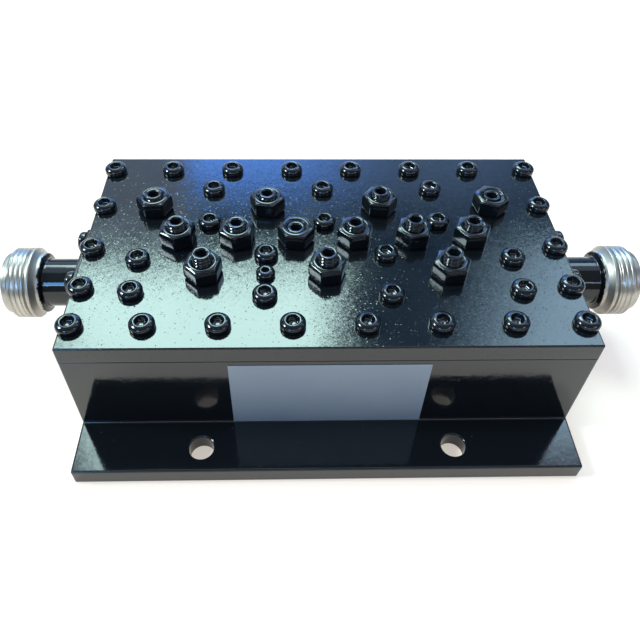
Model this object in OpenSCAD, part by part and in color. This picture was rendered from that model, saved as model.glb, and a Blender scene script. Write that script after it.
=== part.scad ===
// Seven-cavity bandpass filter: a milled block with a screwed cover, tuned from above,
// with a threaded coaxial jack on each end. Millimetres, +Z up, standing on its mounting lips.

/* [Cavities] */
// Diameter of each milled cavity
cavity_d = 18; // [16:0.1:18.6]
// Depth of each cavity under the cover
cavity_depth = 19.5; // [18:0.5:28]
// Distance along the block between two cavities of the same row
cavity_pitch = 25.1; // [23:0.1:30]
// Distance of each row of cavities from the centre line
row_y = 10.3; // [10.1:0.1:14]
// Width of the windows that join one cavity to the next
iris_w = 8; // [5:0.1:9]
// Depth of those windows under the cover
iris_depth = 14; // [10:0.5:17]
// Width of the small window between the second and the fourth cavity
cross_iris_w = 4; // [3:0.1:6]
// Depth of the small window under the cover
cross_iris_depth = 8; // [6:0.5:12]

/* [Block] */
// Wall between the end cavities and the end faces
end_wall = 4.35; // [4:0.05:8]
// Wall between the cavities and the long faces
side_wall = 10.2; // [9:0.1:14]
// Floor under the cavities
floor_t = 5; // [4.6:0.1:8]
// Width of each mounting lip
lip_w = 11.3; // [10:0.1:18]
// Thickness of the mounting lips
lip_t = 4; // [3:0.1:6]
// Chamfer round the top edges of the lips and of the cover
edge_break = 0.4; // [0.1:0.05:0.8]
// Diameter of the mounting holes
mount_hole_d = 5; // [3.2:0.1:6]
// Distance of the mounting holes from the outer edge of the lip
mount_hole_in = 5.2; // [4.5:0.1:6]
// Distance between the mounting holes of one lip
mount_pitch = 51.4; // [40:0.2:80]

/* [Cover] */
// Thickness of the cover
cover_t = 4; // [3:0.1:5]
// Distance of the end screws from the end faces
rim_in_x = 2; // [1.8:0.1:2.4]
// Distance of the rows of screws from the long faces
rim_in_y = 5.4; // [4:0.1:6.5]
// Pitch of the six middle screws of each row
rim_pitch = 14.15; // [13:0.05:14.5]

/* [Screws] */
// Head diameter of the cover screws
head_d = 5; // [4.4:0.1:5.6]
// Head height of the cover screws
head_h = 1.8; // [1.4:0.1:2.2]
// Radius that the paint leaves round the top of a head
head_round = 0.6; // [0.3:0.05:0.8]
// Key size of the cover screws
head_key = 2.5; // [2:0.1:2.8]
// Depth of the key sockets in the heads
head_key_depth = 1.1; // [0.8:0.1:1.3]
// Thread diameter of the cover screws
screw_d = 3; // [2.5:0.1:3.2]
// Length of the cover screws under the head
screw_l = 8; // [6:0.5:8.4]
// Head diameter of the small screw over the cross window
cross_head_d = 3.9; // [3.5:0.1:4.4]
// Head height of the small screw
cross_head_h = 1.6; // [1.2:0.1:2]
// Thread diameter of the small screw
cross_d = 2; // [1.6:0.1:2.5]
// Length of the small screw under its head
cross_l = 9; // [6:0.5:9.5]
// Distance of the small screw in front of the middle of its window
cross_off = 0.4; // [0:0.1:0.8]
// Radial room that a screw has in a drilled hole
hole_gap = 0.15; // [0.1:0.05:0.3]
// Radial room of a thread in its tapped hole
thread_gap = 0.04; // [0.02:0.01:0.08]

/* [Tuning] */
// Thread diameter of the tuning and coupling screws
tuner_d = 3.8; // [3:0.1:4.2]
// Length of the tuning and coupling screws
tuner_l = 20; // [17:0.5:21]
// Key size of the tuning screws
tuner_key = 2; // [1.5:0.1:2.2]
// Depth of the key sockets in the tuning screws
tuner_key_depth = 2.2; // [1.5:0.1:3]
// Width across the flats of the lock nuts
nut_af = 6.9; // [6.2:0.1:7.4]
// Height of the lock nuts
nut_h = 3.8; // [2.8:0.1:4.2]
// Diameter of the round flat on top of a lock nut
nut_top_d = 6.2; // [5.4:0.1:6.6]
// Drop of the chamfer from that flat to a corner of the nut
nut_chamfer = 0.6; // [0.3:0.05:0.9]

/* [Resonators] */
// Diameter of the resonator posts
post_d = 7; // [6.6:0.1:8]
// Gap between a post and the cover
post_gap = 5.5; // [4.5:0.1:7]
// Diameter of the bore that the tuning screw dips into
post_bore_d = 5; // [4.8:0.1:5.6]
// Room under the deepest tuning screw
tip_room = 0.8; // [0.5:0.1:1.5]
// Length of the screw that holds a post, under its head
post_screw_l = 6; // [5:0.1:6.2]
// Depth of that screw's head below the mounting face
head_sink = 0.4; // [0.2:0.1:0.6]

/* [Jacks] */
// Height of the jacks' axis above the mounting face
jack_z = 15.5; // [14:0.1:15.7]
// Side of the square flange
flange_w = 17.5; // [17:0.1:19]
// Thickness of the flange
flange_t = 2.5; // [2:0.1:4]
// Distance between the flange screws
flange_pitch = 12.7; // [12:0.05:13.2]
// Thread diameter of the flange screws
flange_screw_d = 2.5; // [2:0.1:2.6]
// Length of the flange screws under the head
flange_screw_l = 6; // [4.5:0.5:6.5]
// Diameter of the plain tube behind the thread
tube_d = 10.8; // [10:0.1:12]
// Length of that tube in front of the flange
tube_l = 8.6; // [6:0.1:14]
// Diameter of the collar behind the thread
collar_d = 13.5; // [12.4:0.1:14.5]
// Length of the collar
collar_l = 0.9; // [0.5:0.1:2]
// Length of the cone from the collar up to the full diameter
cone_l = 1.1; // [0.6:0.1:2]
// Outer diameter of the coupling thread
thread_d = 15.875; // [15:0.025:16.5]
// Length of the plain band between the cone and the thread
band_l = 0.7; // [0.4:0.1:1.5]
// Width of the groove behind the thread
groove_w = 0.25; // [0.15:0.05:0.5]
// Depth of that groove
groove_depth = 0.5; // [0.2:0.05:0.8]
// Length of the coupling thread
thread_l = 3.55; // [3:0.05:8]
// Length of the chamfer in front of the thread
lead_l = 0.55; // [0.3:0.05:1]
// Diameter of the plain ring at the mouth
ring_d = 13.7; // [12.4:0.1:14.2]
// Length of the plain ring at the mouth
ring_l = 1.35; // [1:0.05:3]
// Bore of the mouth
mouth_d = 8.1; // [7.8:0.05:9]
// Depth of the mouth down to the insulator
mouth_depth = 9; // [8:0.1:9.4]
// Diameter of the insulator behind its rim
insulator_d = 7; // [6.4:0.1:7.4]
// Thickness of the insulator's rim at the foot of the mouth
insulator_rim = 1.5; // [1:0.1:2.5]
// Radial room round the insulator
insulator_gap = 0.03; // [0.02:0.01:0.06]
// Diameter of the centre contact's sleeve
contact_d = 3; // [2.6:0.1:3.4]
// Bore of that sleeve
contact_bore_d = 1.7; // [1.4:0.05:1.9]
// Length of the sleeve in front of the insulator
contact_l = 4.2; // [3.4:0.1:4.6]
// Width of the two slots that make the sleeve springy
contact_slot_w = 0.4; // [0.2:0.05:0.6]
// Diameter of the contact's pin behind the sleeve
pin_d = 2.2; // [1.8:0.1:2.5]
// Distance from the end face in to the tap on that pin
tap_in = 7; // [6.4:0.1:7.6]
// Diameter of the tap wire to the end resonators
tap_d = 1; // [0.7:0.1:1.2]
// Width of the slot that the tap wire runs in
entry_w = 6; // [5:0.1:7]

/* [Label] */
// Width of the bare foil label on the front face
label_w = 38.9; // [30:0.1:60]
// Gap between the label's top edge and the cover's seam
label_drop = 1.1; // [0.6:0.1:3]
// Thickness of the label
label_t = 0.12; // [0.08:0.02:0.3]

/* [Hidden] */
$fn = 48;

// Finishes, as the photograph shows them where they can be seen
PAINT = "#1d2022";
FOIL = "#b9c4d2";
STEEL = "#8d9094";
SILVER = "#c9ccce";
WHITE = "#f2f1ec";
GOLD = "#c9a54a";
NICKEL = "#b4b3ae";

CAVITIES = 7;
// Small overrun that keeps cut faces from lying on each other
cut = 0.5;

// Outer sizes that follow from the cavities and the walls
body_l = (CAVITIES - 1) / 2 * cavity_pitch + cavity_d + 2 * end_wall;
body_w = 2 * row_y + cavity_d + 2 * side_wall;
body_h = floor_t + cavity_depth;
base_w = body_w + 2 * lip_w;
cover_top = body_h + cover_t;

// Cavity centres in the order of the signal, zigzag from the input end
cavity_at = [for (i = [0:CAVITIES - 1])
    [(i - (CAVITIES - 1) / 2) * cavity_pitch / 2, (i % 2 == 0 ? 1 : -1) * row_y]];
// A coupling screw stands over the window between each cavity and the next
window_at = [for (i = [0:CAVITIES - 2]) (cavity_at[i] + cavity_at[i + 1]) / 2];
// The small window joins the second and the fourth cavity
cross_at = (cavity_at[1] + cavity_at[3]) / 2 - [0, cross_off];

// Height of each tuning screw's end above the cover, and how far its nut is turned
tuning_stand = [4.4, 6, 4.6, 6, 5.1, 6, 3.9];
tuning_turn = [4, 18, 50, 8, 53, 8, 40];
coupling_stand = [5.4, 5, 3.6, 5, 5.8, 5.35];
coupling_turn = [25, 23, 55, 15, 13, 5];

// Cover screws round the rim: two rows, and three on each end
rim_end_x = body_l / 2 - rim_in_x;
rim_row_y = body_w / 2 - rim_in_y;
rim_end_y = [10.6, -3, -14.4];
rim_row_x = [-rim_end_x, for (i = [-2.5:1:2.5]) i * rim_pitch, rim_end_x];
rim_at = concat([for (x = rim_row_x, y = [-rim_row_y, rim_row_y]) [x, y]],
    [for (x = [-rim_end_x, rim_end_x], y = rim_end_y) [x, y]]);

// Cover screws in the walls between cavities, and two over each solid front corner
wall_near = 5.1;
wall_far = 16.6;
corner_x = cavity_at[CAVITIES - 1][0] + 1.35;
corner_y = [-6.4, -15.5];
wall_at = concat(
    [for (i = [-1:1], y = [wall_near, wall_far]) [i * cavity_pitch, y]],
    [for (x = [-0.5, 0.5], y = [-wall_near, -wall_far]) [x * cavity_pitch, y]],
    [for (x = [-corner_x, corner_x], y = corner_y) [x, y]]);

// Resonator posts: the bore ends just under the deepest tuning screw
post_top = body_h - post_gap;
post_bore_z = cover_top + min(tuning_stand) - tuner_l - tip_room;
post_seat_z = head_sink + head_h;

// Stations along a jack, from the end face out to the mouth
tube_s = flange_t;
collar_s = tube_s + tube_l;
cone_s = collar_s + collar_l;
band_s = cone_s + cone_l;
groove_s = band_s + band_l;
thread_s = groove_s + groove_w;
lead_s = thread_s + thread_l;
ring_s = lead_s + lead_l;
mouth_s = ring_s + ring_l;
insulator_s = mouth_s - mouth_depth;
// The insulator ends flush with the slot that its contact reaches
insulator_in = tap_in - entry_w / 2;

// Points of a quarter arc, from the side of a turned piece to its end
function quarter(r, z, round, steps = 4) =
    [for (i = [0:steps]) [r - round + round * cos(90 * i / steps), z - round + round * sin(90 * i / steps)]];

// A plate whose four top edges are broken by a chamfer
module broken_plate(l, w, t) {
    intersection() {
        translate([l / 2, 0, 0]) rotate([90, 0, -90]) linear_extrude(l)
            polygon([[-w / 2, 0], [w / 2, 0], [w / 2, t - edge_break], [w / 2 - edge_break, t],
                [edge_break - w / 2, t], [-w / 2, t - edge_break]]);
        translate([0, w / 2, 0]) rotate([90, 0, 0]) linear_extrude(w)
            polygon([[-l / 2, 0], [l / 2, 0], [l / 2, t - edge_break], [l / 2 - edge_break, t],
                [edge_break - l / 2, t], [-l / 2, t - edge_break]]);
    }
}

module key_socket(key, depth) {
    translate([0, 0, -depth]) cylinder(h = depth + cut, d = key / cos(30), $fn = 6);
}

// Screw with a low round head: its seat lies at z = 0
module cap_screw(d_head, h_head, key, key_depth, d, l) {
    difference() {
        union() {
            rotate_extrude() polygon(concat([[0, 0], [d_head / 2, 0]],
                quarter(d_head / 2, h_head, head_round), [[0, h_head]]));
            translate([0, 0, -l]) cylinder(h = l + h_head / 2, d = d);
        }
        translate([0, 0, h_head]) key_socket(key, key_depth);
    }
}

// Threaded pin with a key socket: its upper end lies at z = 0
module set_screw() {
    bevel = 0.35;
    difference() {
        rotate_extrude() polygon([[0, -tuner_l], [tuner_d / 2, -tuner_l], [tuner_d / 2, -bevel],
            [tuner_d / 2 - bevel, 0], [0, 0]]);
        key_socket(tuner_key, tuner_key_depth);
    }
}

module lock_nut() {
    corner_r = nut_af / 2 / cos(30);
    difference() {
        intersection() {
            cylinder(h = nut_h, r = corner_r, $fn = 6);
            rotate_extrude() polygon([[0, 0], [corner_r, 0], [corner_r, nut_h - nut_chamfer],
                [nut_top_d / 2, nut_h], [0, nut_h]]);
        }
        translate([0, 0, -cut]) cylinder(h = nut_h + 2 * cut, d = tuner_d + 2 * thread_gap);
    }
}

// Puts a child on each point of a list, at one height
module on(points, z) {
    for (p = points) translate([p[0], p[1], z]) children();
}

// Places a child on a jack's axis at the end face, pointing out of the filter
module at_end(side) {
    translate([side * body_l / 2, 0, jack_z]) rotate([0, side * 90, 0]) children();
}

// Places a child at the tap on a contact, pointing to the post of the end cavity
module along_tap(side) {
    post = cavity_at[side < 0 ? 0 : CAVITIES - 1];
    from = [side * (body_l / 2 - tap_in), 0];
    translate([from[0], from[1], jack_z]) rotate([0, 0, atan2(post[1] - from[1], post[0] - from[0])])
        rotate([0, 90, 0]) children();
}

// A window of a given width and depth, cut from the top between two cavities
module window(a, b, w, depth) {
    run = norm(b - a);
    translate([a[0], a[1], body_h - depth]) rotate([0, 0, atan2(b[1] - a[1], b[0] - a[0])])
        translate([0, -w / 2, 0]) cube([run, w, depth + cut]);
}

module flange_holes(d, from, to) {
    for (x = [-1, 1], y = [-1, 1]) translate([x * flange_pitch / 2, y * flange_pitch / 2, from])
        cylinder(h = to - from, d = d);
}

module housing() {
    bolt_y = base_w / 2 - mount_hole_in;
    cover_hole_l = screw_l - cover_t + 0.6;
    flange_hole_l = flange_screw_l - flange_t + 0.4;
    color(PAINT) difference() {
        union() {
            broken_plate(body_l, base_w, lip_t);
            translate([-body_l / 2, -body_w / 2, 0]) cube([body_l, body_w, body_h]);
        }
        on(cavity_at, floor_t) cylinder(h = cavity_depth + cut, d = cavity_d);
        for (i = [0:CAVITIES - 2]) window(cavity_at[i], cavity_at[i + 1], iris_w, iris_depth);
        window(cavity_at[1], cavity_at[3], cross_iris_w, cross_iris_depth);
        on(concat(rim_at, wall_at), body_h - cover_hole_l)
            cylinder(h = cover_hole_l + cut, d = screw_d + 2 * thread_gap);
        on(cavity_at, -cut) cylinder(h = post_seat_z + cut, d = head_d + 4 * hole_gap);
        on(cavity_at, -cut) cylinder(h = floor_t + 2 * cut, d = screw_d + 2 * hole_gap);
        for (side = [-1, 1]) {
            at_end(side) translate([0, 0, -tap_in])
                cylinder(h = tap_in + cut, d = insulator_d + 2 * insulator_gap);
            at_end(side) flange_holes(flange_screw_d + 2 * thread_gap, -flange_hole_l, cut);
            entry_slot(side);
        }
        on([for (x = [-1, 1], y = [-1, 1]) [x * mount_pitch / 2, y * bolt_y]], -cut)
            cylinder(h = lip_t + 2 * cut, d = mount_hole_d);
    }
}

// Slot from the inner end of a jack to its end cavity
module entry_slot(side) {
    from = [side * (body_l / 2 - tap_in), 0];
    depth = body_h - jack_z + entry_w / 2 + 1;
    window(from, cavity_at[side < 0 ? 0 : CAVITIES - 1], entry_w, depth);
    translate([from[0], from[1], body_h - depth]) cylinder(h = depth + cut, d = entry_w);
}

module cover() {
    color(PAINT) difference() {
        translate([0, 0, body_h]) broken_plate(body_l, body_w, cover_t);
        on(concat(rim_at, wall_at), body_h - cut)
            cylinder(h = cover_t + 2 * cut, d = screw_d + 2 * hole_gap);
        on(concat(cavity_at, window_at), body_h - cut)
            cylinder(h = cover_t + 2 * cut, d = tuner_d + 2 * thread_gap);
        on([cross_at], body_h - cut) cylinder(h = cover_t + 2 * cut, d = cross_d + 2 * thread_gap);
    }
}

// Bare foil sticker on the front face, standing on the lip
module label() {
    h = body_h - label_drop - lip_t;
    color(FOIL) translate([-label_w / 2, -body_w / 2 - label_t, lip_t]) cube([label_w, label_t, h]);
}

module cover_screw() {
    cap_screw(head_d, head_h, head_key, head_key_depth, screw_d, screw_l);
}

module rim_screws() {
    color(PAINT) on(rim_at, cover_top) cover_screw();
}

module wall_screws() {
    color(PAINT) on(wall_at, cover_top) cover_screw();
}

module cross_screw() {
    key = 1.5;
    color(PAINT) on([cross_at], cover_top)
        cap_screw(cross_head_d, cross_head_h, key, head_key_depth, cross_d, cross_l);
}

// Silver-plated post, tapped from below and bored from above
module resonator(i) {
    tapped_l = post_seat_z + post_screw_l + cut - floor_t;
    color(SILVER) difference() {
        on([cavity_at[i]], floor_t) cylinder(h = post_top - floor_t, d = post_d);
        on([cavity_at[i]], post_bore_z) cylinder(h = post_top - post_bore_z + cut, d = post_bore_d);
        on([cavity_at[i]], floor_t - cut) cylinder(h = tapped_l + cut, d = screw_d + 2 * thread_gap);
        if (i == 0) along_tap(-1) tap_hole();
        if (i == CAVITIES - 1) along_tap(1) tap_hole();
    }
}

module resonator_screws() {
    color(STEEL) on(cavity_at, post_seat_z) rotate([180, 0, 0])
        cap_screw(head_d, head_h, head_key, head_key_depth, screw_d, post_screw_l);
}

module tuning_screw(i) {
    color(PAINT) on([cavity_at[i]], cover_top + tuning_stand[i]) set_screw();
}

module coupling_screw(i) {
    color(PAINT) on([window_at[i]], cover_top + coupling_stand[i]) set_screw();
}

module tuning_nut(i) {
    color(PAINT) on([cavity_at[i]], cover_top) rotate([0, 0, tuning_turn[i]]) lock_nut();
}

module coupling_nut(i) {
    color(PAINT) on([window_at[i]], cover_top) rotate([0, 0, coupling_turn[i]]) lock_nut();
}

// One turned and milled piece: square flange, tube, collar, thread and mouth
module jack(side) {
    mouth_round = 0.35;
    color(NICKEL) at_end(side) difference() {
        union() {
            translate([-flange_w / 2, -flange_w / 2, 0]) cube([flange_w, flange_w, flange_t]);
            rotate_extrude() polygon(concat(
                [[0, 0], [tube_d / 2, 0], [tube_d / 2, collar_s], [collar_d / 2 - edge_break, collar_s],
                [collar_d / 2, collar_s + edge_break], [collar_d / 2, cone_s],
                [thread_d / 2, band_s], [thread_d / 2, groove_s],
                [thread_d / 2 - groove_depth, groove_s], [thread_d / 2 - groove_depth, thread_s],
                [thread_d / 2, thread_s], [thread_d / 2, lead_s], [ring_d / 2, ring_s]],
                quarter(ring_d / 2, mouth_s, mouth_round), [[0, mouth_s]]));
        }
        translate([0, 0, -cut]) cylinder(h = mouth_s + 2 * cut, d = insulator_d + 2 * insulator_gap);
        translate([0, 0, insulator_s - insulator_rim])
            cylinder(h = mouth_s - insulator_s + insulator_rim + cut, d = mouth_d);
        flange_holes(flange_screw_d + 2 * hole_gap, -cut, flange_t + cut);
    }
}

// White insulator: a rim at the foot of the mouth, and a stem that runs through the end wall
module insulator(side) {
    color(WHITE) at_end(side) difference() {
        union() {
            translate([0, 0, -insulator_in]) cylinder(h = insulator_in + insulator_s, d = insulator_d);
            translate([0, 0, insulator_s - insulator_rim])
                cylinder(h = insulator_rim, d = mouth_d - 2 * insulator_gap);
        }
        translate([0, 0, -insulator_in - cut])
            cylinder(h = insulator_in + insulator_s + 2 * cut, d = pin_d + 2 * insulator_gap);
    }
}

// Slotted sleeve for the plug's pin, on a long pin that carries the tap wire
module contact(side) {
    pin_end = tap_in + tap_d;
    bore_l = contact_l - contact_slot_w;
    color(GOLD) difference() {
        at_end(side) difference() {
            union() {
                translate([0, 0, -pin_end]) cylinder(h = pin_end + insulator_s, d = pin_d);
                translate([0, 0, insulator_s]) cylinder(h = contact_l, d = contact_d);
            }
            translate([0, 0, insulator_s + contact_l - bore_l])
                cylinder(h = bore_l + cut, d = contact_bore_d);
            for (turn = [45, 135]) rotate([0, 0, turn])
                translate([-contact_d, -contact_slot_w / 2, insulator_s + contact_l - bore_l])
                    cube([2 * contact_d, contact_slot_w, bore_l + cut]);
        }
        along_tap(side) translate([0, 0, -pin_d]) cylinder(h = 2 * pin_d, d = tap_d + 2 * thread_gap);
    }
}

// Hole in the wall of an end post for the tap wire
module tap_hole() {
    cylinder(h = tap_run() - post_bore_d / 4, d = tap_d + 2 * thread_gap);
}

// Distance from the tap on a contact to the middle of the end cavity
function tap_run() = norm([body_l / 2 - tap_in, 0] - cavity_at[CAVITIES - 1]);

module tap(side) {
    end_in_wall = (post_d + post_bore_d) / 4;
    color(SILVER) along_tap(side) translate([0, 0, -pin_d / 2])
        cylinder(h = tap_run() - end_in_wall + pin_d / 2, d = tap_d);
}

module jack_screws(side) {
    color(PAINT) at_end(side) for (x = [-1, 1], y = [-1, 1])
        translate([x * flange_pitch / 2, y * flange_pitch / 2, flange_t])
            cap_screw(head_d, head_h, head_key, head_key_depth, flange_screw_d, flange_screw_l);
}

housing();
cover();
label();
rim_screws();
wall_screws();
cross_screw();
resonator(0);  // resonator_1
resonator(1);  // resonator_2
resonator(2);  // resonator_3
resonator(3);  // resonator_4
resonator(4);  // resonator_5
resonator(5);  // resonator_6
resonator(6);  // resonator_7
resonator_screws();
tuning_screw(0);  // tuning_screw_1
tuning_screw(1);  // tuning_screw_2
tuning_screw(2);  // tuning_screw_3
tuning_screw(3);  // tuning_screw_4
tuning_screw(4);  // tuning_screw_5
tuning_screw(5);  // tuning_screw_6
tuning_screw(6);  // tuning_screw_7
coupling_screw(0);  // coupling_screw_1
coupling_screw(1);  // coupling_screw_2
coupling_screw(2);  // coupling_screw_3
coupling_screw(3);  // coupling_screw_4
coupling_screw(4);  // coupling_screw_5
coupling_screw(5);  // coupling_screw_6
tuning_nut(0);  // tuning_nut_1
tuning_nut(1);  // tuning_nut_2
tuning_nut(2);  // tuning_nut_3
tuning_nut(3);  // tuning_nut_4
tuning_nut(4);  // tuning_nut_5
tuning_nut(5);  // tuning_nut_6
tuning_nut(6);  // tuning_nut_7
coupling_nut(0);  // coupling_nut_1
coupling_nut(1);  // coupling_nut_2
coupling_nut(2);  // coupling_nut_3
coupling_nut(3);  // coupling_nut_4
coupling_nut(4);  // coupling_nut_5
coupling_nut(5);  // coupling_nut_6
jack(-1);  // input_jack
insulator(-1);  // input_insulator
contact(-1);  // input_contact
tap(-1);  // input_tap
jack_screws(-1);  // input_jack_screws
jack(1);  // output_jack
insulator(1);  // output_insulator
contact(1);  // output_contact
tap(1);  // output_tap
jack_screws(1);  // output_jack_screws
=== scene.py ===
import math
import random

import bmesh
import bpy
import numpy as np
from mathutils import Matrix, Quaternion, Vector


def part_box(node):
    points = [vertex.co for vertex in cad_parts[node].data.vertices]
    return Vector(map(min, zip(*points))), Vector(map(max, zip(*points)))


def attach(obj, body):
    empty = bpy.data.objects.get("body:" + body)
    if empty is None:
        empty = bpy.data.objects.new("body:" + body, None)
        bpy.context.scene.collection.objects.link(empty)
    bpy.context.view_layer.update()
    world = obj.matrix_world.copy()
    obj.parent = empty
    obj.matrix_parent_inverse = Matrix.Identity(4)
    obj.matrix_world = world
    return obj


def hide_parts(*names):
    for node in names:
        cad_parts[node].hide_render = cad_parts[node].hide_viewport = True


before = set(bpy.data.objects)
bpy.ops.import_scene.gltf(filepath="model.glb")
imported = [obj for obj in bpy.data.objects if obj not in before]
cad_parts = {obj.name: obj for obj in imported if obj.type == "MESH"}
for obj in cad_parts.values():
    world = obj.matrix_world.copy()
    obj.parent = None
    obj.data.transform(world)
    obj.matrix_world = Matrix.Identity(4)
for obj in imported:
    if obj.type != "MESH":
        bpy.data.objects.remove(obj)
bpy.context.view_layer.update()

# ---- Milled block ----
# One piece of aluminium with a mounting lip along each long side and a flat top for the cover.
# It is milled from solid, and the whole filter is sprayed with gloss black enamel once it is
# put together, so the film rounds every edge and fills the inner corner of the lips.

MM = 0.001


def linear(hex_colour):
    """An sRGB hex colour as linear RGBA."""
    parts = [int(hex_colour[i:i + 2], 16) / 255 for i in (1, 3, 5)]
    return [c / 12.92 if c <= 0.04045 else ((c + 0.055) / 1.055) ** 2.4 for c in parts] + [1.0]


def add(tree, kind, settings=(), links=()):
    """Adds a node: settings go to its properties or its inputs, links to its inputs."""
    node = tree.nodes.new("ShaderNode" + kind)
    for name, value in dict(settings).items():
        if isinstance(name, int) or name in node.inputs:
            node.inputs[name].default_value = value
        else:
            setattr(node, name, value)
    for name, source in dict(links).items():
        tree.links.new(source, node.inputs[name])
    return node


def new_material(name):
    """An empty node material, its tree and the surface socket of its output."""
    material = bpy.data.materials.new(name)
    material.use_nodes = True
    material.node_tree.nodes.clear()
    output = material.node_tree.nodes.new("ShaderNodeOutputMaterial")
    return material, material.node_tree, output.inputs["Surface"]


def enamel_film(tree, grit):
    """Colour, roughness and normal of the sprayed film.

    Orange peel about 1.7 mm across, and with more grit the tilted grains of dried spray, and
    nibs of dust caught in the film on faces that look up."""
    place = add(tree, "TexCoord").outputs["Object"]
    peel = add(tree, "TexNoise", {"Scale": 1000 / 1.7, "Detail": 1.0}, {"Vector": place})
    # Dried spray is nearer 0.1 mm, too fine to show: drawn 0.22 mm coarse
    grains = add(tree, "TexVoronoi", {"Scale": 1000 / 0.22}, {"Vector": place}).outputs["Color"]
    ways = add(tree, "VectorMath", {"operation": "SUBTRACT", 1: (0.5, 0.5, 0.5)}, {0: grains})
    chance = add(tree, "SeparateColor", {}, {0: grains})
    # Most grains lie nearly flat; a few stand up steeply and catch the light
    steep = add(tree, "Math", {"operation": "POWER", 1: 16.0}, {0: chance.outputs[2]})
    tilt = add(tree, "Math", {"operation": "MULTIPLY_ADD", 1: 0.2 * grit, 2: 0.02 * grit},
               {0: steep.outputs[0]})
    tilts = add(tree, "VectorMath", {"operation": "SCALE"},
                {0: ways.outputs[0], 3: tilt.outputs[0]})
    clouds = add(tree, "TexNoise", {"Scale": 1000 / 9.0, "Detail": 3.0}, {"Vector": place})
    nibs = add(tree, "TexVoronoi", {"Scale": 1000 / 1.5}, {"Vector": place})
    rarity = add(tree, "SeparateColor", {}, {0: nibs.outputs["Color"]})
    # Of the cells 1.5 mm apart about half hold a nib, up to 0.4 mm wide
    size = add(tree, "MapRange", {1: 0.5, 2: 1.0, 3: 0.001, 4: 0.13}, {0: rarity.outputs[0]})
    nib = add(tree, "MapRange", {"interpolation_type": "SMOOTHSTEP", 3: 1.0, 4: 0.0},
              {0: nibs.outputs["Distance"], 2: size.outputs[0]})
    facing = add(tree, "SeparateXYZ", {}, {0: add(tree, "NewGeometry").outputs["Normal"]})
    up = add(tree, "Math", {"operation": "GREATER_THAN", 1: 0.7}, {0: facing.outputs["Z"]})
    dust = add(tree, "Math", {"operation": "MULTIPLY"}, {0: nib.outputs[0], 1: up.outputs[0]})
    colour = add(tree, "Mix", {"data_type": "RGBA", 6: linear("#0f1317"), 7: linear("#46525f")},
                 {0: dust.outputs[0]})
    gloss = add(tree, "MapRange", {1: 0.3, 2: 0.7, 3: 0.07, 4: 0.12}, {0: clouds.outputs[0]})
    wavy = add(tree, "Bump", {"Strength": 1.0, "Distance": 1.0e-5}, {"Height": peel.outputs[0]})
    nibbed = add(tree, "Bump", {"Strength": 1.0, "Distance": 3.0e-5 * grit},
                 {"Height": dust.outputs[0], "Normal": wavy.outputs[0]})
    tilted = add(tree, "VectorMath", {"operation": "ADD"},
                 {0: nibbed.outputs[0], 1: tilts.outputs[0]})
    normal = add(tree, "VectorMath", {"operation": "NORMALIZE"}, {0: tilted.outputs[0]})
    return colour.outputs[2], gloss.outputs[0], normal.outputs[0]


def gloss_enamel(name, grit):
    """Gloss black enamel: a deep black with sharp reflections in a slightly wavy skin."""
    material, tree, surface = new_material(name)
    colour, rough, normal = enamel_film(tree, grit)
    coat = add(tree, "BsdfPrincipled", {"IOR": 1.55},
               {"Base Color": colour, "Roughness": rough, "Normal": normal})
    tree.links.new(coat.outputs[0], surface)
    return material


enamel = gloss_enamel("gloss_black_enamel", 0.3)


def make_object(name, mesh, material):
    """An object at the origin with this mesh and material, added to the scene."""
    mesh.materials.clear()
    mesh.materials.append(material)
    piece = bpy.data.objects.new(name, mesh)
    bpy.context.scene.collection.objects.link(piece)
    return piece


def mesh_of(name, points, faces, smooth=True):
    """A mesh from points in millimetres, with its faces turned outwards."""
    mesh = bpy.data.meshes.new(name)
    mesh.from_pydata([tuple(c * MM for c in p) for p in points], [], faces)
    shell = bmesh.new()
    shell.from_mesh(mesh)
    bmesh.ops.recalc_face_normals(shell, faces=shell.faces)
    shell.to_mesh(mesh)
    shell.free()
    mesh.polygons.foreach_set("use_smooth", [smooth] * len(mesh.polygons))
    return mesh


def extrusion(name, outline, x0, x1, rounding, weight, material):
    """A YZ outline run along X, its edges rounded by rounding (mm) times weight(edge middle)."""
    n = len(outline)
    points = [(x, y, z) for x in (x0, x1) for y, z in outline]
    faces = [list(range(n)), list(range(n, 2 * n))]
    faces += [[i, (i + 1) % n, n + (i + 1) % n, n + i] for i in range(n)]
    mesh = mesh_of(name, points, faces)
    shell = bmesh.new()
    shell.from_mesh(mesh)
    weights = shell.edges.layers.float.new("bevel_weight_edge")
    for edge in shell.edges:
        middle = (edge.verts[0].co + edge.verts[1].co) / 2 / MM
        edge[weights] = weight(middle)
    shell.to_mesh(mesh)
    shell.free()
    piece = make_object(name, mesh, material)
    bevel = piece.modifiers.new("Rounding", "BEVEL")
    bevel.width = rounding * MM
    bevel.limit_method = "WEIGHT"
    bevel.segments = 4
    return piece


def skin(rings, closed=False):
    """Points and faces of rings joined side by side, capped at both ends or closed into a loop."""
    n = len(rings[0])
    points = [p for ring in rings for p in ring]
    faces = []
    for i in range(len(rings) - (0 if closed else 1)):
        a, b = i * n, (i + 1) % len(rings) * n
        faces += [[a + j, a + (j + 1) % n, b + (j + 1) % n, b + j] for j in range(n)]
    if not closed:
        for start, ring in ((0, rings[0]), ((len(rings) - 1) * n, rings[-1])):
            points.append(tuple(sum(p[k] for p in ring) / n for k in range(3)))
            middle = len(points) - 1
            faces += [[start + j, start + (j + 1) % n, middle] for j in range(n)]
    return points, faces


def drill(hole, profile, at):
    """A turned cutter whose profile is (radius, height) pairs, standing at a point."""
    steps = 64
    turn = [2 * math.pi * j / steps for j in range(steps)]
    rings = [[(at[0] + r * math.cos(t), at[1] + r * math.sin(t), z) for t in turn]
             for r, z in profile]
    return make_object(hole, mesh_of(hole, *skin(rings)), enamel)


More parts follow.
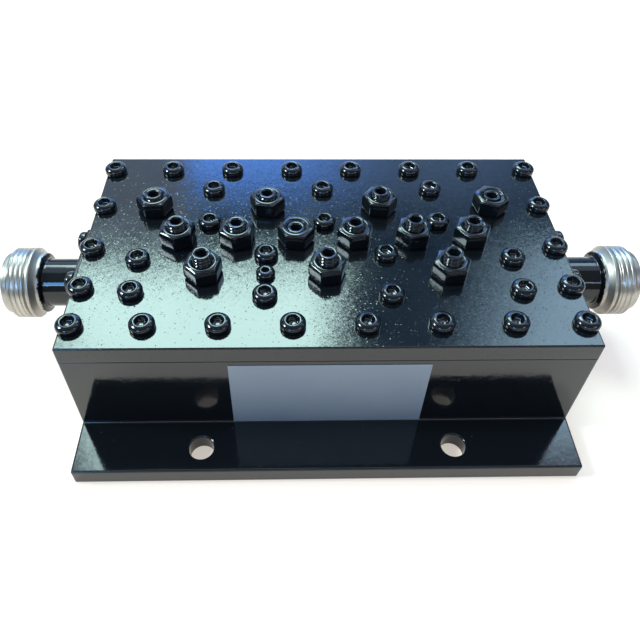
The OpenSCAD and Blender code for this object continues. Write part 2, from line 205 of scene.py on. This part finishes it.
def cut_out(piece, cutters):
    """Cuts the cutters out of a piece for good, then deletes them."""
    bench = bpy.data.collections.new("cutters")
    bpy.context.scene.collection.children.link(bench)
    for cutter in cutters:
        bpy.context.scene.collection.objects.unlink(cutter)
        bench.objects.link(cutter)
    cut = piece.modifiers.new("Cuts", "BOOLEAN")
    cut.operation = "DIFFERENCE"
    cut.solver = "EXACT"
    cut.use_self = True
    cut.operand_type = "COLLECTION"
    cut.collection = bench
    bpy.context.view_layer.update()
    graph = bpy.context.evaluated_depsgraph_get()
    finished = bpy.data.meshes.new_from_object(piece.evaluated_get(graph))
    piece.modifiers.clear()
    piece.data = finished
    for cutter in cutters:
        bpy.data.objects.remove(cutter)
    bpy.data.collections.remove(bench)


def even_shading(piece):
    """Flat faces stay flat up to their rounded edges."""
    piece.modifiers.new("Shading", "WEIGHTED_NORMAL").keep_sharp = True


def keep(piece, node):
    """The piece rides on the body and stands for this node, which is hidden."""
    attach(piece, "root")
    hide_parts(node)


housing_lo, housing_hi = (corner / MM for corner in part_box("housing"))
cover_lo, cover_hi = (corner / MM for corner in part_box("cover"))
lip_top = 4.0
outline = [(housing_lo.y, 0), (housing_hi.y, 0), (housing_hi.y, lip_top), (cover_hi.y, lip_top),
           (cover_hi.y, housing_hi.z), (cover_lo.y, housing_hi.z), (cover_lo.y, lip_top),
           (housing_lo.y, lip_top)]


def block_weight(middle):
    """The film is thick on the lips, thin underneath and at the seam below the cover."""
    if middle.z > housing_hi.z - 0.01:
        return 0.4
    if middle.z < 0.01:
        return 0.6
    return 1.0


block = extrusion("milled_block", outline, housing_lo.x, housing_hi.x,
                  rounding=0.45, weight=block_weight, material=enamel)

# The four mounting holes, with the film rounded over both of their rims
HOLE_RIM = 0.35
hole_steps = [k / 4 for k in range(5)]
mount_radius = 2.5
mount_profile = [(mount_radius + HOLE_RIM, -1)]
mount_profile += [(mount_radius + HOLE_RIM * (1 - math.sqrt(1 - (1 - s) ** 2)),
                   HOLE_RIM * s) for s in hole_steps]
mount_profile += [(mount_radius + HOLE_RIM * (1 - math.sqrt(1 - s ** 2)),
                   lip_top - HOLE_RIM * (1 - s)) for s in hole_steps]
mount_profile += [(mount_radius + HOLE_RIM, lip_top + 1)]
mount_pitch = 51.4
mount_in = 5.2
cutters = []
for x in (-mount_pitch / 2, mount_pitch / 2):
    for y in (housing_lo.y + mount_in, housing_hi.y - mount_in):
        cutters.append(drill("mount_drill", mount_profile, (x, y)))

# Under each post, a counterbore for its screw's head and a clearance hole
posts = [sum(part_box("resonator_%d" % i), Vector()) / 2 / MM for i in range(1, 8)]
post_profile = [(3.1, -1), (3.1, 0), (2.8, 0.3), (2.8, 2.2), (1.65, 2.2), (1.65, 5.5)]
for post in posts:
    cutters.append(drill("post_drill", post_profile, (post.x, post.y)))
cut_out(block, cutters)
even_shading(block)
keep(block, "housing")

# ---- Cover ----
# A flat aluminium plate, screwed down on the block and sprayed with it. Its sheen carries the
# whole picture: the windows and every fastener stand mirrored in it.

cover_outline = [(cover_lo.y, cover_lo.z), (cover_hi.y, cover_lo.z),
                 (cover_hi.y, cover_hi.z), (cover_lo.y, cover_hi.z)]
# The cover lies flat under the spray gun, so its film is the grittiest
gritty_enamel = gloss_enamel("gloss_black_enamel_with_dry_spray", 1.0)
cover = extrusion("cover_plate", cover_outline, cover_lo.x, cover_hi.x, rounding=0.4,
                  weight=lambda middle: 0.4 if middle.z < cover_lo.z + 0.01 else 1.0,
                  material=gritty_enamel)
even_shading(cover)
keep(cover, "cover")

# ---- Cap screws ----
# Steel socket cap screws with low heads: round the cover's rim, over the walls between the
# cavities, one small one over the cross window, and four on each jack's flange. The enamel
# rounds the heads from foot to top and half fills the sockets.

# Angles of the points round a hexagon, closer together at its corners
SECTOR = [-30, -29, -27.5, -25, -20, -13, -6.5, 0, 6.5, 13, 20, 25, 27.5, 29]
HEX_TURN = [math.radians(60 * k + a) for k in range(6) for a in SECTOR]


def flat_sided(angle, sides, apothem, corner):
    """Radius at an angle of a polygon with rounded corners."""
    half = math.pi / sides
    a = abs((angle + half) % (2 * half) - half)
    flat = (apothem - corner) * math.tan(half)
    if apothem * math.tan(a) <= flat:
        return apothem / math.cos(a)
    along = (apothem - corner) * math.cos(a) + flat * math.sin(a)
    bulge = along ** 2 - (apothem - corner) ** 2 - flat ** 2 + corner ** 2
    return along + math.sqrt(max(0.0, bulge))


def round_ring(r, z):
    """A circle of points at a height."""
    return [(r * math.cos(t), r * math.sin(t), z) for t in HEX_TURN]


def hex_ring(apothem, corner, z):
    """A hexagon of points with rounded corners at a height."""
    radii = [flat_sided(t, 6, apothem, corner) for t in HEX_TURN]
    return [(r * math.cos(t), r * math.sin(t), z) for r, t in zip(radii, HEX_TURN)]


def cap_rings(d_head, h_head, key, key_depth, d, length):
    """Rings of a cap screw from its tip up over the head and down into the socket."""
    r, h, k = d_head / 2, h_head, key / 2
    rim = k + 0.32
    dome_high = 0.5 * h
    rings = [round_ring(d / 2 - 0.3, -length), round_ring(d / 2, -length + 0.3),
             round_ring(d / 2, 0)]
    rings += [round_ring(r + g, z)
              for g, z in ((-0.08, 0.0), (-0.03, 0.06), (0.0, 0.16), (0.0, 0.5))]
    # The dome is an ellipse's arc that still slopes where it meets the socket's rim
    stop = math.radians(63)
    inner = (rim - r * math.cos(stop)) / (1 - math.cos(stop))
    for degrees in range(0, 64, 9):
        b = math.radians(degrees)
        rings.append(round_ring(inner + (r - inner) * math.cos(b),
                                h - dome_high * (1 - math.sin(b) / math.sin(stop))))
    # A flat rim of film round the socket, which narrows and sharpens as it goes down
    rings += [round_ring(rim - g, h + z) for g, z in ((0.02, 0.005), (0.07, 0.008), (0.24, 0.007))]
    rings += [hex_ring(k - g, corner * k, h - down) for g, corner, down in (
        (0.0, 0.8, 0.03), (0.05, 0.5, 0.1), (0.09, 0.3, 0.22), (0.1, 0.25, key_depth))]
    rings.append(hex_ring(0.5 * k, 0.15 * k, h - key_depth - 0.25))
    return rings


def seats(node, axis=2, side=-1):
    """Middle of each screw of a node in millimetres, from the small disc at its tip."""
    points = np.array([tuple(v.co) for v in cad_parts[node].data.vertices]) / MM
    level = points[:, axis].min() if side < 0 else points[:, axis].max()
    groups = []
    for p in points[np.abs(points[:, axis] - level) < 0.02]:
        group = next((g for g in groups if np.linalg.norm(g[0] - p) < 4), None)
        if group is None:
            groups.append([p])
        else:
            group.append(p)
    middles = [(np.min(g, axis=0) + np.max(g, axis=0)) / 2 for g in groups]
    return sorted([float(c) for c in m] for m in middles)


def several(name, rings, places, material):
    """One mesh with a copy of the rings at each place, a function from point to point."""
    points, faces = skin(rings)
    all_points, all_faces = [], []
    for place in places:
        start = len(all_points)
        all_points += [place(p) for p in points]
        all_faces += [[start + i for i in face] for face in faces]
    return make_object(name, mesh_of(name, all_points, all_faces), material)


def standing(x, y, z, turn):
    """Places a point of an upright fastener: turned, then stood at x, y, z."""
    c, s = math.cos(turn), math.sin(turn)
    return lambda p: (x + c * p[0] - s * p[1], y + s * p[0] + c * p[1], z + p[2])


def lying(x, y, z, side, turn):
    """Places a point of a fastener that points along +X or -X."""
    c, s = math.cos(turn), math.sin(turn)
    return lambda p: (x + side * p[2], y + c * p[0] - s * p[1], z + side * (s * p[0] + c * p[1]))


# On the small parts the film is thick and flows out smooth
smooth_enamel = gloss_enamel("gloss_black_enamel_flowed", 0.15)
turns = random.Random(11)
cap_screw = cap_rings(d_head=5.0, h_head=1.8, key=2.5, key_depth=1.1, d=3.0, length=8.0)
for node, label in (("rim_screws", "rim_cap_screws"), ("wall_screws", "wall_cap_screws")):
    places = [standing(x, y, cover_hi.z, turns.uniform(0, math.pi / 3)) for x, y, z in seats(node)]
    keep(several(label, cap_screw, places, smooth_enamel), node)

small_screw = cap_rings(d_head=3.9, h_head=1.6, key=1.5, key_depth=1.1, d=2.0, length=9.0)
places = [standing(x, y, cover_hi.z, 0.3) for x, y, z in seats("cross_screw")]
keep(several("cross_cap_screw", small_screw, places, smooth_enamel), "cross_screw")

# ---- Tuning screws and lock nuts ----
# Seven tuning screws over the posts and six coupling screws over the windows between them, each
# a threaded pin with a key socket, locked by a chamfered steel nut. The enamel rounds the threads
# to waves and leaves a raised ring on each nut.

NUT_HALF = 3.5
NUT_HIGH = 3.9
NUT_BORE = 1.95
# The top falls this much for each millimetre out from the flats' middles to the corners
NUT_SLOPE = 0.12


def nut_rings():
    """Rings of a lock nut from the foot of its bore out, up the flats and over the ridge."""
    def flats(inset, drop, corner=0.5):
        ring = []
        for t in HEX_TURN:
            r = flat_sided(t, 6, NUT_HALF - inset, corner)
            full = flat_sided(t, 6, NUT_HALF, corner)
            z = NUT_HIGH - (full - NUT_HALF) * NUT_SLOPE - drop
            ring.append((r * math.cos(t), r * math.sin(t), z))
        return ring
    rings = [round_ring(NUT_BORE, 0.0)]
    # The lower edge is chamfered too, which keeps the foot dark
    rings += [hex_ring(NUT_HALF - g, 0.5, z)
              for g, z in ((0.28, 0.0), (0.24, 0.1), (0.14, 0.33), (0.055, 0.58), (0.016, 0.75),
                           (0.0, 0.92), (0.0, 1.6))]
    # The film leans in above the flat, then turns over an edge into the chamfer
    rings += [flats(g, drop) for g, drop in (
        (0.0, 1.32), (0.01, 1.17), (0.028, 1.02), (0.05, 0.87), (0.075, 0.7), (0.1, 0.52),
        (0.114, 0.43), (0.13, 0.375), (0.152, 0.335), (0.18, 0.305), (0.22, 0.277), (0.36, 0.183),
        (0.39, 0.167), (0.42, 0.157))]
    # A ridge of enamel runs round the top
    rings += [round_ring(r, NUT_HIGH + z) for r, z in (
        (3.06, -0.145), (3.03, -0.125), (2.99, -0.098), (2.94, -0.074), (2.88, -0.056),
        (2.8, -0.042), (2.7, -0.034), (2.62, -0.034), (2.54, -0.044), (2.46, -0.07),
        (2.36, -0.135), (2.24, -0.21), (2.1, -0.26), (2.02, -0.32), (NUT_BORE, -0.5))]
    return rings


PIN_PITCH = 0.79
PIN_RADIUS = 1.9
PIN_LENGTH = 20.0
THREAD_DEEP = 0.38
# Only the top of a pin shows, so only that much carries its thread
THREADED = 6.0


def pin_rings():
    """Rings of a tuning screw from its lower end to the bottom of its socket."""
    rings = [round_ring(PIN_RADIUS - 0.35, -PIN_LENGTH), round_ring(PIN_RADIUS, 0.35 - PIN_LENGTH)]
    z = -THREADED
    while z < -0.3:
        ring = []
        fade = min(1.0, (z + THREADED) / 0.7)
        for t in HEX_TURN:
            wave = 0.5 - 0.5 * math.cos(2 * math.pi * (z / PIN_PITCH - t / 2 / math.pi))
            r = PIN_RADIUS - THREAD_DEEP * fade * wave
            ring.append((r * math.cos(t), r * math.sin(t), z))
        rings.append(ring)
        z += 0.07
    rings += [round_ring(1.86, -0.2), round_ring(1.84, -0.1), round_ring(1.77, -0.02),
              round_ring(1.7, 0.0), round_ring(1.42, 0.0), hex_ring(1.2, 0.6, -0.06),
              hex_ring(1.06, 0.35, -0.2), hex_ring(1.0, 0.2, -0.45), hex_ring(1.0, 0.2, -2.05),
              hex_ring(0.85, 0.2, -2.2)]
    return rings


nut = nut_rings()
pin = pin_rings()
# How far each nut is turned, in degrees
nut_turns = {"tuning": (4, 16.8, 50, 10.5, 53, 7, 40), "coupling": (26.5, 22.5, 55, 13.5, 13, 5)}
for kind, degrees in nut_turns.items():
    for i, turn in enumerate(degrees, 1):
        node = "%s_screw_%d" % (kind, i)
        lo, hi = (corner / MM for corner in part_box(node))
        x, y = (lo.x + hi.x) / 2, (lo.y + hi.y) / 2
        place = standing(x, y, hi.z, turns.uniform(0, 2 * math.pi))
        keep(several(node + "_pin", pin, [place], smooth_enamel), node)
        place = standing(x, y, cover_hi.z, math.radians(turn + 30))
        # The bore's foot closes the nut into a ring
        points, faces = skin(nut, closed=True)
        label = "%s_lock_nut_%d" % (kind, i)
        body = make_object(label, mesh_of(label, [place(p) for p in points], faces), smooth_enamel)
        keep(body, "%s_nut_%d" % (kind, i))

# ---- Coaxial jacks ----
# One turned and milled piece each: a square flange, a plain tube, a collar, a cone, and a short
# 5/8 inch coupling thread at the mouth. Brass, nickel plated; the enamel covers everything up to
# the cone, where it ends in a ragged line, and the thread stays bare.

JACK_AXIS = 15.5
FLANGE_HALF = 8.75
FLANGE_THICK = 2.5
JACK_SECTOR = [-45, -44, -43, -42, -40] + [-37.5 + 2.5 * k for k in range(31)] + [40, 42, 43, 44]
JACK_TURN = [math.radians(90 * k + a) for k in range(4) for a in JACK_SECTOR]
COUPLING_PITCH = 1.058
COUPLING_RADIUS = 7.9375
COUPLING_DEEP = 0.19
# Radius of the relief groove behind the thread
RELIEF_RADIUS = 7.45


def jack_rings():
    """Rings of a jack from its flange's back out to the mouth and back down the bore."""
    def ring(shape, s):
        radii = [shape(t) for t in JACK_TURN]
        return [(r * math.cos(t), r * math.sin(t), s) for r, t in zip(radii, JACK_TURN)]

    def square(half, corner, s):
        return ring(lambda t: flat_sided(t, 4, half, corner), s)

    def plain(r, s):
        return ring(lambda t: r, s)
    rings = [square(FLANGE_HALF - 0.1, 0.9, 0.0), square(FLANGE_HALF, 1.0, 0.1),
             square(FLANGE_HALF, 1.0, 2.15), square(FLANGE_HALF - 0.1, 0.9, 2.4),
             square(FLANGE_HALF - 0.35, 0.7, FLANGE_THICK)]
    # Tube with a fillet of enamel at each end, then the collar and the cone
    rings += [plain(r, s) for r, s in (
        (6.0, FLANGE_THICK), (5.62, 2.56), (5.46, 2.72), (5.4, 3.0), (5.4, 3.2), (5.4, 10.5),
        (5.4, 10.7), (5.47, 10.95), (5.7, 11.1), (6.35, 11.1), (6.6, 11.16), (6.72, 11.32),
        (6.75, 11.5), (6.75, 11.95), (6.85, 12.1), (7.8, 13.02), (7.9, 13.08), (7.93, 13.16),
        (7.93, 13.72), (7.88, 13.79), (7.5, 13.82), (7.42, 13.9), (RELIEF_RADIUS, 14.02))]
    s = 14.1
    while s < 17.6:
        rise = min(1.0, (s - 14.0) / 0.3)

        def thread(t, s=s, rise=rise):
            wave = 0.5 - 0.5 * math.cos(2 * math.pi * (s / COUPLING_PITCH - t / 2 / math.pi))
            crest = COUPLING_RADIUS - COUPLING_DEEP * wave ** 4
            return RELIEF_RADIUS + (crest - RELIEF_RADIUS) * rise
        rings.append(ring(thread, s))
        s += 0.0882
    # The mouth, and the bore back to the flange
    rings += [plain(r, s) for r, s in (
        (7.5, 17.72), (7.3, 17.95), (6.97, 18.12), (6.87, 18.22), (6.85, 18.4), (6.85, 19.1),
        (6.79, 19.3), (6.66, 19.44), (6.5, 19.5), (4.4, 19.5), (4.2, 19.42), (4.08, 19.25),
        (4.05, 19.0), (4.05, 9.0), (3.53, 9.0), (3.53, 0.0))]
    return rings


# Nickel plate over brass, half under the enamel: a dulled, faintly warm shine with turning lines
plated, tree, surface = new_material("nickel_plate_part_enamelled")
film_colour, film_rough, film_normal = enamel_film(tree, 0.3)
place = add(tree, "TexCoord").outputs["Object"]
axes = add(tree, "SeparateXYZ", {}, {0: place})
outwards = add(tree, "Math", {"operation": "ABSOLUTE"}, {0: axes.outputs["X"]})
# The enamel ends where the collar meets the cone, in a line ragged by about 1 mm
ragged = add(tree, "TexNoise", {"Scale": 1000 / 3.0, "Detail": 4.0, "Roughness": 0.65},
             {"Vector": place})
edge = add(tree, "Math", {"operation": "MULTIPLY_ADD", 1: 0.0022},
           {0: ragged.outputs[0], 2: outwards.outputs[0]})
bare = add(tree, "MapRange", {1: 0.0634, 2: 0.0636}, {0: edge.outputs[0]})
stretched = add(tree, "VectorMath", {"operation": "MULTIPLY", 1: (1.0, 0.02, 0.02)}, {0: place})
lines = add(tree, "TexNoise", {"Scale": 1000 / 0.12, "Detail": 2.0},
            {"Vector": stretched.outputs[0]})
smears = add(tree, "TexNoise", {"Scale": 1000 / 2.5, "Detail": 4.0}, {"Vector": place})
metal_colour = add(tree, "Mix", {"data_type": "RGBA", 6: linear("#c0bab0"), 7: linear("#9f9991")},
                   {0: smears.outputs[0]})
# The cone is left as turned, and the thread has been rubbed smoother in use
worn = add(tree, "MapRange", {1: 0.0645, 2: 0.0647, 3: 0.12, 4: 0.0}, {0: outwards.outputs[0]})
polish = add(tree, "MapRange", {1: 0.3, 2: 0.7, 3: 0.28, 4: 0.38}, {0: smears.outputs[0]})
metal_rough = add(tree, "Math", {"operation": "ADD"}, {0: polish.outputs[0], 1: worn.outputs[0]})
turned = add(tree, "Bump", {"Strength": 1.0, "Distance": 1.5e-5}, {"Height": lines.outputs[0]})
colour = add(tree, "Mix", {"data_type": "RGBA"},
             {0: bare.outputs[0], 6: film_colour, 7: metal_colour.outputs[2]})
rough = add(tree, "Mix", {}, {0: bare.outputs[0], 2: film_rough, 3: metal_rough.outputs[0]})
normal = add(tree, "Mix", {"data_type": "VECTOR"},
             {0: bare.outputs[0], 4: film_normal, 5: turned.outputs[0]})
coat = add(tree, "BsdfPrincipled", {},
           {"Base Color": colour.outputs[2], "Metallic": bare.outputs[0],
            "Roughness": rough.outputs[0], "Normal": normal.outputs[1]})
tree.links.new(coat.outputs[0], surface)

flange_screw = cap_rings(d_head=5.0, h_head=1.8, key=2.5, key_depth=1.1, d=2.5, length=6.0)
for side, end in ((-1, "input"), (1, "output")):
    face = housing_hi.x if side > 0 else housing_lo.x
    place = lying(face, 0.0, JACK_AXIS, side, 0.0)
    points, faces = skin(jack_rings(), closed=True)
    label = end + "_jack_shell"
    body = make_object(label, mesh_of(label, [place(p) for p in points], faces), plated)
    even_shading(body)
    keep(body, end + "_jack")
    node = end + "_jack_screws"
    places = [lying(face + side * FLANGE_THICK, y, z, side, turns.uniform(0, math.pi / 3))
              for x, y, z in seats(node, 0, -side)]
    screws = several(end + "_flange_cap_screws", flange_screw, places, smooth_enamel)
    keep(screws, node)

# ---- Insulators, contacts and what lies inside ----
# The insulators are turned from white PTFE and the slotted contacts are gold-plated beryllium
# copper. The posts and tap wires are silver plated, and steel screws hold the posts from below.

# PTFE: soft white, waxy rather than glossy, with faint tool marks
ptfe, tree, surface = new_material("turned_ptfe")
place = add(tree, "TexCoord").outputs["Object"]
marks = add(tree, "TexNoise", {"Scale": 1000 / 0.3, "Detail": 2.0}, {"Vector": place})
tint = add(tree, "Mix", {"data_type": "RGBA", 6: linear("#f4f3ee"), 7: linear("#e6e4dc")},
           {0: marks.outputs[0]})
fine = add(tree, "Bump", {"Strength": 0.5, "Distance": 5e-6}, {"Height": marks.outputs[0]})
coat = add(tree, "BsdfPrincipled", {"Roughness": 0.45, "IOR": 1.35},
           {"Base Color": tint.outputs[2], "Normal": fine.outputs[0]})
tree.links.new(coat.outputs[0], surface)


def plate(name, bright, dull, rough_low, rough_high, mark):
    """A metal whose colour and roughness drift between two values, with marks this far apart."""
    material, tree, surface = new_material(name)
    place = add(tree, "TexCoord").outputs["Object"]
    drift = add(tree, "TexNoise", {"Scale": 1000 / 3.0, "Detail": 4.0}, {"Vector": place})
    fine = add(tree, "TexNoise", {"Scale": 1000 / mark, "Detail": 2.0}, {"Vector": place})
    tint = add(tree, "Mix", {"data_type": "RGBA", 6: linear(bright), 7: linear(dull)},
               {0: drift.outputs[0]})
    rough = add(tree, "MapRange", {1: 0.3, 2: 0.7, 3: rough_low, 4: rough_high},
                {0: drift.outputs[0]})
    bump = add(tree, "Bump", {"Strength": 0.5, "Distance": 4e-6}, {"Height": fine.outputs[0]})
    coat = add(tree, "BsdfPrincipled", {"Metallic": 1.0},
               {"Base Color": tint.outputs[2], "Roughness": rough.outputs[0],
                "Normal": bump.outputs[0]})
    tree.links.new(coat.outputs[0], surface)
    return material


# Gold plate is warm and mirror-like, silver plate paler and duller where it has tarnished
gold = plate("gold_plate", "#e8c267", "#cfa449", 0.12, 0.22, 0.2)
silver = plate("silver_plate", "#e4e2dc", "#c9c5bb", 0.2, 0.35, 0.3)
# Zinc-plated steel is a cooler grey with a soft shine
steel = plate("zinc_plated_steel", "#c2c4c6", "#989ca0", 0.25, 0.4, 0.25)

dressed = {"input_insulator": (ptfe, "white_insulator"),
           "output_insulator": (ptfe, "white_insulator"),
           "input_contact": (gold, "gold_plate"), "output_contact": (gold, "gold_plate"),
           "input_tap": (silver, "silver_plate"), "output_tap": (silver, "silver_plate"),
           "resonator_screws": (steel, "steel")}
for i in range(1, 8):
    dressed["resonator_%d" % i] = (silver, "silver_plate")
for node, (material, slot) in dressed.items():
    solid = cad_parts[node]
    solid.data.materials.clear()
    solid.data.materials.append(material)

# ---- Label ----
# A bare foil sticker on the front face, standing on the lip. Its polyester film over aluminium
# gives a cool satin silver that takes its tone from the room.

# Metallised polyester film: satin, slightly blue, with a fine tooth that scatters reflections
foil, tree, surface = new_material("satin_foil_film")
place = add(tree, "TexCoord").outputs["Object"]
tooth = add(tree, "TexNoise", {"Scale": 1000 / 0.25, "Detail": 2.0}, {"Vector": place})
sag = add(tree, "TexNoise", {"Scale": 1000 / 14.0, "Detail": 1.0}, {"Vector": place})
tint = add(tree, "Mix", {"data_type": "RGBA", 6: linear("#89939f"), 7: linear("#989faa")},
           {0: sag.outputs[0]})
rough = add(tree, "MapRange", {1: 0.3, 2: 0.7, 3: 0.42, 4: 0.54}, {0: tooth.outputs[0]})
lift = add(tree, "Bump", {"Strength": 1.0, "Distance": 8e-5}, {"Height": sag.outputs[0]})
bump = add(tree, "Bump", {"Strength": 0.6, "Distance": 6e-6},
           {"Height": tooth.outputs[0], "Normal": lift.outputs[0]})
coat = add(tree, "BsdfPrincipled", {"Metallic": 0.22, "IOR": 1.5},
           {"Base Color": tint.outputs[2], "Roughness": rough.outputs[0],
            "Normal": bump.outputs[0]})
tree.links.new(coat.outputs[0], surface)

lo, hi = (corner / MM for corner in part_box("label"))
label_outline = [(lo.y, lo.z), (hi.y, lo.z), (hi.y, hi.z), (lo.y, hi.z)]
sticker = extrusion("bare_foil_label", label_outline, lo.x, hi.x,
                    rounding=0.04, weight=lambda middle: 1.0, material=foil)
even_shading(sticker)
keep(sticker, "label")

# ---- Floor, light and camera ----
# A plain pale floor. Soft windows stand behind the filter, one small bright lamp at its left,
# and fainter ones in front, which the fasteners mirror.

floor_material, tree, surface = new_material("pale_floor")
matt = add(tree, "BsdfDiffuse", {"Color": linear("#d9c7b9")})
# The eye and the mirrors see the floor lifted towards white, and its shadow stays
path = add(tree, "LightPath")
mirrored = add(tree, "Math", {"operation": "ADD"},
               {0: path.outputs["Is Glossy Ray"], 1: path.outputs["Is Transmission Ray"]})
seen = add(tree, "Math", {"operation": "ADD", "use_clamp": True},
           {0: path.outputs["Is Camera Ray"], 1: mirrored.outputs[0]})
lift = add(tree, "Math", {"operation": "MULTIPLY", 1: 0.5}, {0: seen.outputs[0]})
white = add(tree, "Emission", {"Color": linear("#fff6ec")}, {"Strength": lift.outputs[0]})
lifted = add(tree, "AddShader", {}, {0: matt.outputs[0], 1: white.outputs[0]})
tree.links.new(lifted.outputs[0], surface)
FLOOR_REACH = 2500
corners = [(x * FLOOR_REACH, y * FLOOR_REACH, 0) for x, y in ((-1, -1), (1, -1), (1, 1), (-1, 1))]
floor_mesh = mesh_of("floor", corners, [[0, 1, 2, 3]], smooth=False)
floor = make_object("floor", floor_mesh, floor_material)
# A hair below the block, so that the two faces don't coincide
floor.location.z = -0.00005

world = bpy.data.worlds.new("soft_room")
bpy.context.scene.world = world
world.use_nodes = True
tree = world.node_tree
tree.nodes.clear()
look = add(tree, "SeparateXYZ", {}, {0: add(tree, "TexCoord").outputs["Generated"]})
# Directions behind the filter as slopes: across and up for each step back
back = add(tree, "Math", {"operation": "MAXIMUM", 1: 0.001}, {0: look.outputs["Y"]})
across = add(tree, "Math", {"operation": "DIVIDE"},
             {0: look.outputs["X"], 1: back.outputs[0]}).outputs[0]
rise = add(tree, "Math", {"operation": "DIVIDE"},
           {0: look.outputs["Z"], 1: back.outputs[0]}).outputs[0]


def window(colour, strength, sides, ends):
    """Light from a soft-edged opening: sides and ends are (low, high, soft low, soft high)."""
    level = None
    for value, (low, high, soft_low, soft_high) in ((across, sides), (rise, ends)):
        enter = add(tree, "MapRange", {"interpolation_type": "SMOOTHSTEP", 1: low,
                                       2: low + soft_low, 3: 0.0, 4: 1.0}, {0: value})
        leave = add(tree, "MapRange", {"interpolation_type": "SMOOTHSTEP", 1: high - soft_high,
                                       2: high, 3: 1.0, 4: 0.0}, {0: value})
        both = add(tree, "Math", {"operation": "MULTIPLY"},
                   {0: enter.outputs[0], 1: leave.outputs[0]})
        if level is None:
            level = both
        else:
            level = add(tree, "Math", {"operation": "MULTIPLY"},
                        {0: level.outputs[0], 1: both.outputs[0]})
    light = [strength * c for c in linear(colour)[:3]]
    return add(tree, "VectorMath", {"operation": "SCALE", 0: light}, {3: level.outputs[0]})


# Radiance of the room's walls: a neutral grey in front, bluer behind
front_back = add(tree, "MapRange", {1: -0.3, 2: 0.3}, {0: look.outputs["Y"]})
room = add(tree, "Mix", {"data_type": "VECTOR", 4: (0.2, 0.21, 0.22), 5: (0.1, 0.2, 0.36)},
           {0: front_back.outputs[0]})
total = room.outputs[1]
# A large pale green window at the left, a blue one behind, two dim patches of wall beside it, a
# pale blue one at the right, and the ceiling
openings = (
    ("#d8fff8", 15.8, (-0.75, 0.165, 0.3, 0.12), (0.9, 2.5, 0.2, 0.5)),
    ("#4e90ff", 7.2, (-0.2, 0.22, 0.02, 0.3), (0.3, 0.86, 0.05, 0.16)),
    ("#8fb4ec", 1.7, (-0.24, 0.6, 0.06, 0.3), (0.03, 0.92, 0.05, 0.2)),
    ("#dce8ff", 1.0, (-1.4, -0.19, 0.3, 0.02), (0.25, 0.98, 0.1, 0.06)),
    ("#c0e7ff", 6.2, (0.33, 1.1, 0.36, 0.2), (0.86, 2.0, 0.12, 0.4)),
    ("#e6efff", 0.9, (-9.0, 9.0, 1.0, 1.0), (1.5, 99.0, 0.25, 0.1)),
)
for opening in openings:
    total = add(tree, "VectorMath", {"operation": "ADD"},
                {0: total, 1: window(*opening).outputs[0]}).outputs[0]
sky = add(tree, "Background", {}, {"Color": total})
# The eye sees the room beyond the floor as pale as the floor, and the mirrors keep its windows
pale = add(tree, "Background", {"Color": linear("#ffffff")})
eye = add(tree, "LightPath").outputs["Is Camera Ray"]
room_view = add(tree, "MixShader", {}, {0: eye, 1: sky.outputs[0], 2: pale.outputs[0]})
tree.links.new(room_view.outputs[0], add(tree, "OutputWorld").inputs["Surface"])


def lamp(name, direction, size, radiance, colour):
    """A rectangular lamp a metre away that faces the filter, of this size and radiance."""
    light = bpy.data.lights.new(name, "AREA")
    light.shape = "RECTANGLE"
    light.size, light.size_y = size
    light.energy = radiance * math.pi * size[0] * size[1]
    light.color = linear(colour)[:3]
    holder = bpy.data.objects.new(name, light)
    away = Vector(direction).normalized()
    holder.location = away
    holder.rotation_mode = "QUATERNION"
    holder.rotation_quaternion = away.to_track_quat("Z", "Y")
    bpy.context.scene.collection.objects.link(holder)


lamp("left_lamp", (-0.74, -0.012, 0.672), (0.2, 0.2), 64.0, "#ddf6fb")
lamp("front_window", (-0.4, -0.73, 0.57), (0.18, 0.22), 14.0, "#62b4ff")
lamp("right_window", (0.72, -0.45, 0.6), (0.3, 0.26), 3.2, "#cfe0ff")
lamp("front_wall", (0.05, -0.8, 0.5), (1.5, 0.055), 7.5, "#d4e6ff")

camera = bpy.data.objects.new("camera", bpy.data.cameras.new("camera"))
bpy.context.scene.collection.objects.link(camera)
bpy.context.scene.camera = camera
camera.location = (-0.00763, -0.10247, 0.12248)
aim = Vector((-0.00396, 0.0025, 0.015)) - camera.location
camera.rotation_mode = "QUATERNION"
roll = Quaternion((0, 0, 1), math.radians(1.2035))
camera.rotation_quaternion = aim.to_track_quat("-Z", "Y") @ roll
camera.data.sensor_width = 36.0
camera.data.lens = 36.32
camera.data.shift_x = 0.0225
camera.data.shift_y = -0.0705
camera.data.clip_start = 0.005
camera.data.clip_end = 10.0

bpy.context.scene.view_settings.view_transform = "Standard"
